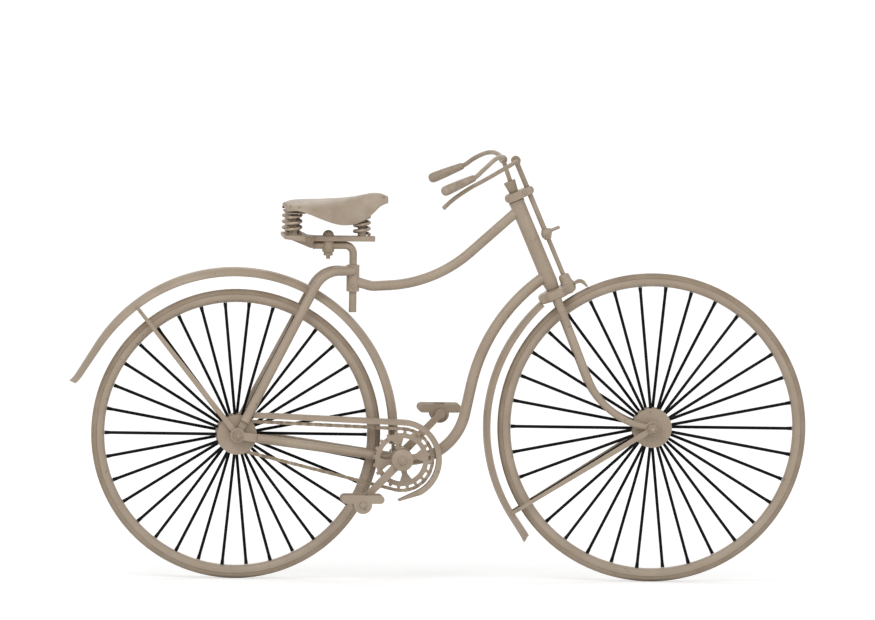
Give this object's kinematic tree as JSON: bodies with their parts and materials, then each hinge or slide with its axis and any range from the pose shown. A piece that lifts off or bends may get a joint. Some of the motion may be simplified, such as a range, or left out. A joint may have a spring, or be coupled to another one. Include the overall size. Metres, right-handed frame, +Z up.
{
  "type": "safety bicycle",
  "caption": "Early safety bicycle with wire wheels, solid tyres, curved open frame, chain drive to a fixed rear wheel, sprung leather saddle, mudguards and a front plunger brake.",
  "frame": {"origin": "top of the saddle where the rider sits", "axes": "+X forward, +Y to the rider's left, +Z up"},
  "size_m": [1.9335, 0.5796, 1.1241],
  "materials": {
    "enamel": "stove enamelled, half gloss",
    "lacquered_steel": "polished steel under brown lacquer",
    "spoke_black": "black japanned",
    "tyre_rubber": "solid grey rubber, matt",
    "pad_rubber": "moulded rubber, matt",
    "grip_horn": "turned vulcanite, satin",
    "saddle_leather": "moulded hide, worn satin",
    "spring_steel": "oiled spring steel",
    "chain_steel": "oiled steel"
  },
  "bodies": {
    "frame": {"head_tube": "enamel", "top_tube": "enamel", "down_tube": "enamel", "bracket_shell": "enamel", "chain_stay_right": "enamel", "chain_stay_left": "enamel", "seat_stay_right": "enamel", "seat_stay_left": "enamel", "seat_lug": "enamel", "stay_bridge": "enamel", "rear_mudguard": "enamel", "rear_mudguard_stays": "enamel", "guard_bracket": "enamel", "chain_guard": "enamel", "chain_guard_clip": "enamel", "chain": "chain_steel", "seat_post": "lacquered_steel", "saddle_clamp": "lacquered_steel", "saddle_frame": "lacquered_steel", "saddle_springs": "spring_steel", "saddle_plates": "lacquered_steel", "saddle_leather": "saddle_leather", "rear_axle": "lacquered_steel"},
    "steering": {"front_axle": "lacquered_steel", "fork_crown": "enamel", "fork_blade_right": "enamel", "fork_blade_left": "enamel", "head_clip": "enamel", "stem_cup": "lacquered_steel", "stem": "lacquered_steel", "handlebar": "lacquered_steel", "grip_right": "grip_horn", "grip_left": "grip_horn", "brake_rod": "lacquered_steel", "rod_clip": "enamel", "brake_spoon": "lacquered_steel", "brake_lever": "lacquered_steel", "front_mudguard": "enamel", "front_mudguard_stays": "enamel"},
    "rear_wheel": {"rear_tyre": "tyre_rubber", "rear_rim": "enamel", "rear_spokes": "spoke_black", "rear_hub": "enamel", "rear_sprocket": "enamel"},
    "front_wheel": {"front_tyre": "tyre_rubber", "front_rim": "enamel", "front_spokes": "spoke_black", "front_hub": "enamel"},
    "crank": {"crank_spindle": "lacquered_steel", "chainwheel": "enamel", "right_crank": "enamel", "left_crank": "enamel"},
    "right_pedal": {"right_pedal": "enamel", "right_pads": "pad_rubber"},
    "left_pedal": {"left_pedal": "enamel", "left_pads": "pad_rubber"}
  },
  "joints": [
    {"name": "steering", "type": "hinge", "parent": "frame", "child": "steering", "pos_m": [0.57048, 0, -0.11868], "axis": [-0.3939, 0, 0.9191], "range_deg": [-45, 45]},
    {"name": "front_wheel_spin", "type": "hinge", "parent": "steering", "child": "front_wheel", "pos_m": [0.883, 0, -0.594], "axis": [0, 1, 0], "continuous": true},
    {"name": "rear_wheel_spin", "type": "hinge", "parent": "frame", "child": "rear_wheel", "pos_m": [-0.212, 0, -0.619], "axis": [0, 1, 0], "continuous": true},
    {"name": "crank_spin", "type": "hinge", "parent": "frame", "child": "crank", "pos_m": [0.223, 0, -0.681], "axis": [0, 1, 0], "continuous": true},
    {"name": "right_pedal_spin", "type": "hinge", "parent": "crank", "child": "right_pedal", "pos_m": [0.11463, -0.141, -0.79322], "axis": [0, 1, 0], "continuous": true},
    {"name": "left_pedal_spin", "type": "hinge", "parent": "crank", "child": "left_pedal", "pos_m": [0.33137, 0.141, -0.56878], "axis": [0, 1, 0], "continuous": true}
  ],
  "couplings": [
    {"joint": "crank_spin", "follows": "rear_wheel_spin", "ratio": 0.45}
  ]
}
